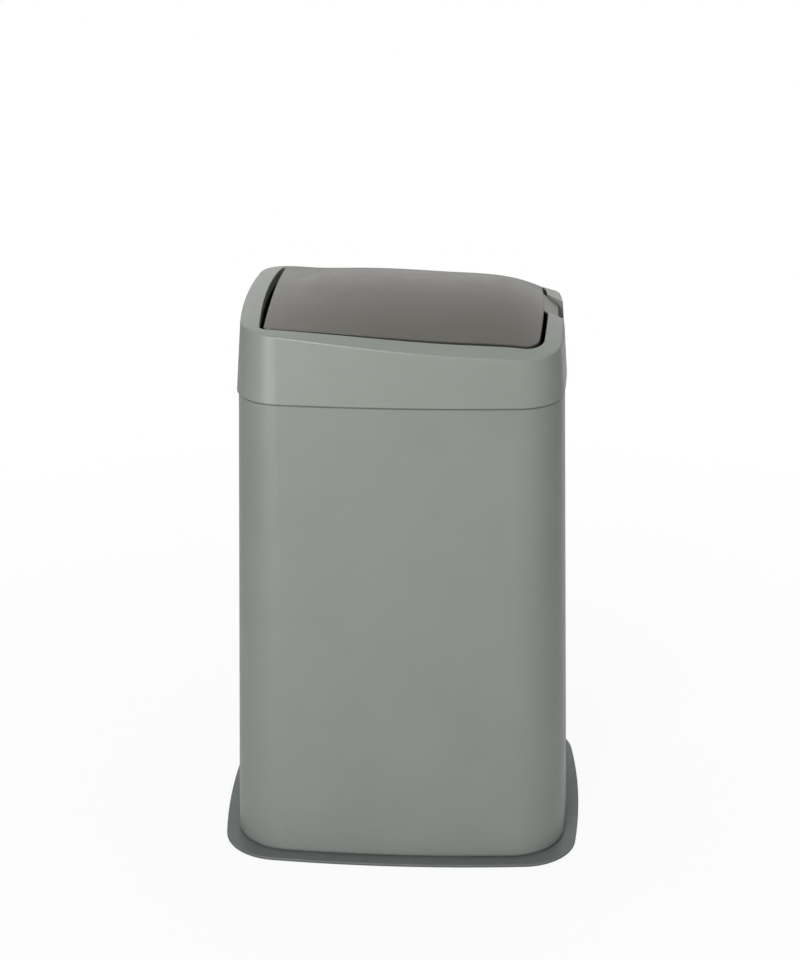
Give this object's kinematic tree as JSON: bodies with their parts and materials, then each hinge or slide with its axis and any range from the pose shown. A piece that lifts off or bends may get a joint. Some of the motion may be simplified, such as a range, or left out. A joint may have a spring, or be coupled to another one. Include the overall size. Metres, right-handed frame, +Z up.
{
  "type": "kitchen bin with swing flap",
  "caption": "Tall grey plastic waste bin with a flat foot, a lift-off collar with a sloping ridge, and an arched self-closing flap that swings on pins and is lifted by a finger tongue.",
  "frame": {"origin": "on the floor, under the middle of the foot", "axes": "+Z up, +X along the long side towards the finger tongue, -Y towards the side that the picture shows"},
  "size_m": [0.4, 0.332, 0.6158],
  "materials": {
    "bucket_plastic": "fine satin grain, cool metallic grey",
    "foot_plastic": "fine matte grain, darker grey",
    "screw_steel": "zinc plated",
    "pad_rubber": "matte",
    "collar_plastic": "fine satin grain, pale cool grey",
    "flap_plastic": "fine satin grain, warm grey",
    "pin_steel": "drawn wire"
  },
  "bodies": {
    "bucket": {"bin_body": "bucket_plastic", "foot_base": "foot_plastic", "foot_screws": "screw_steel", "foot_pads": "pad_rubber"},
    "collar": {"lid_frame": "collar_plastic", "hinge_pin_front": "pin_steel", "hinge_pin_rear": "pin_steel"},
    "flap": {"flap_lid": "flap_plastic"}
  },
  "joints": [
    {"name": "collar_lift", "type": "slide", "parent": "bucket", "child": "collar", "axis": [0, 0, 1], "range_m": [0, 0.08]},
    {"name": "flap_swing", "type": "hinge", "parent": "collar", "child": "flap", "pos_m": [-0.087, 0, 0.58023], "axis": [0, -1, 0], "range_deg": [0, 80]}
  ]
}
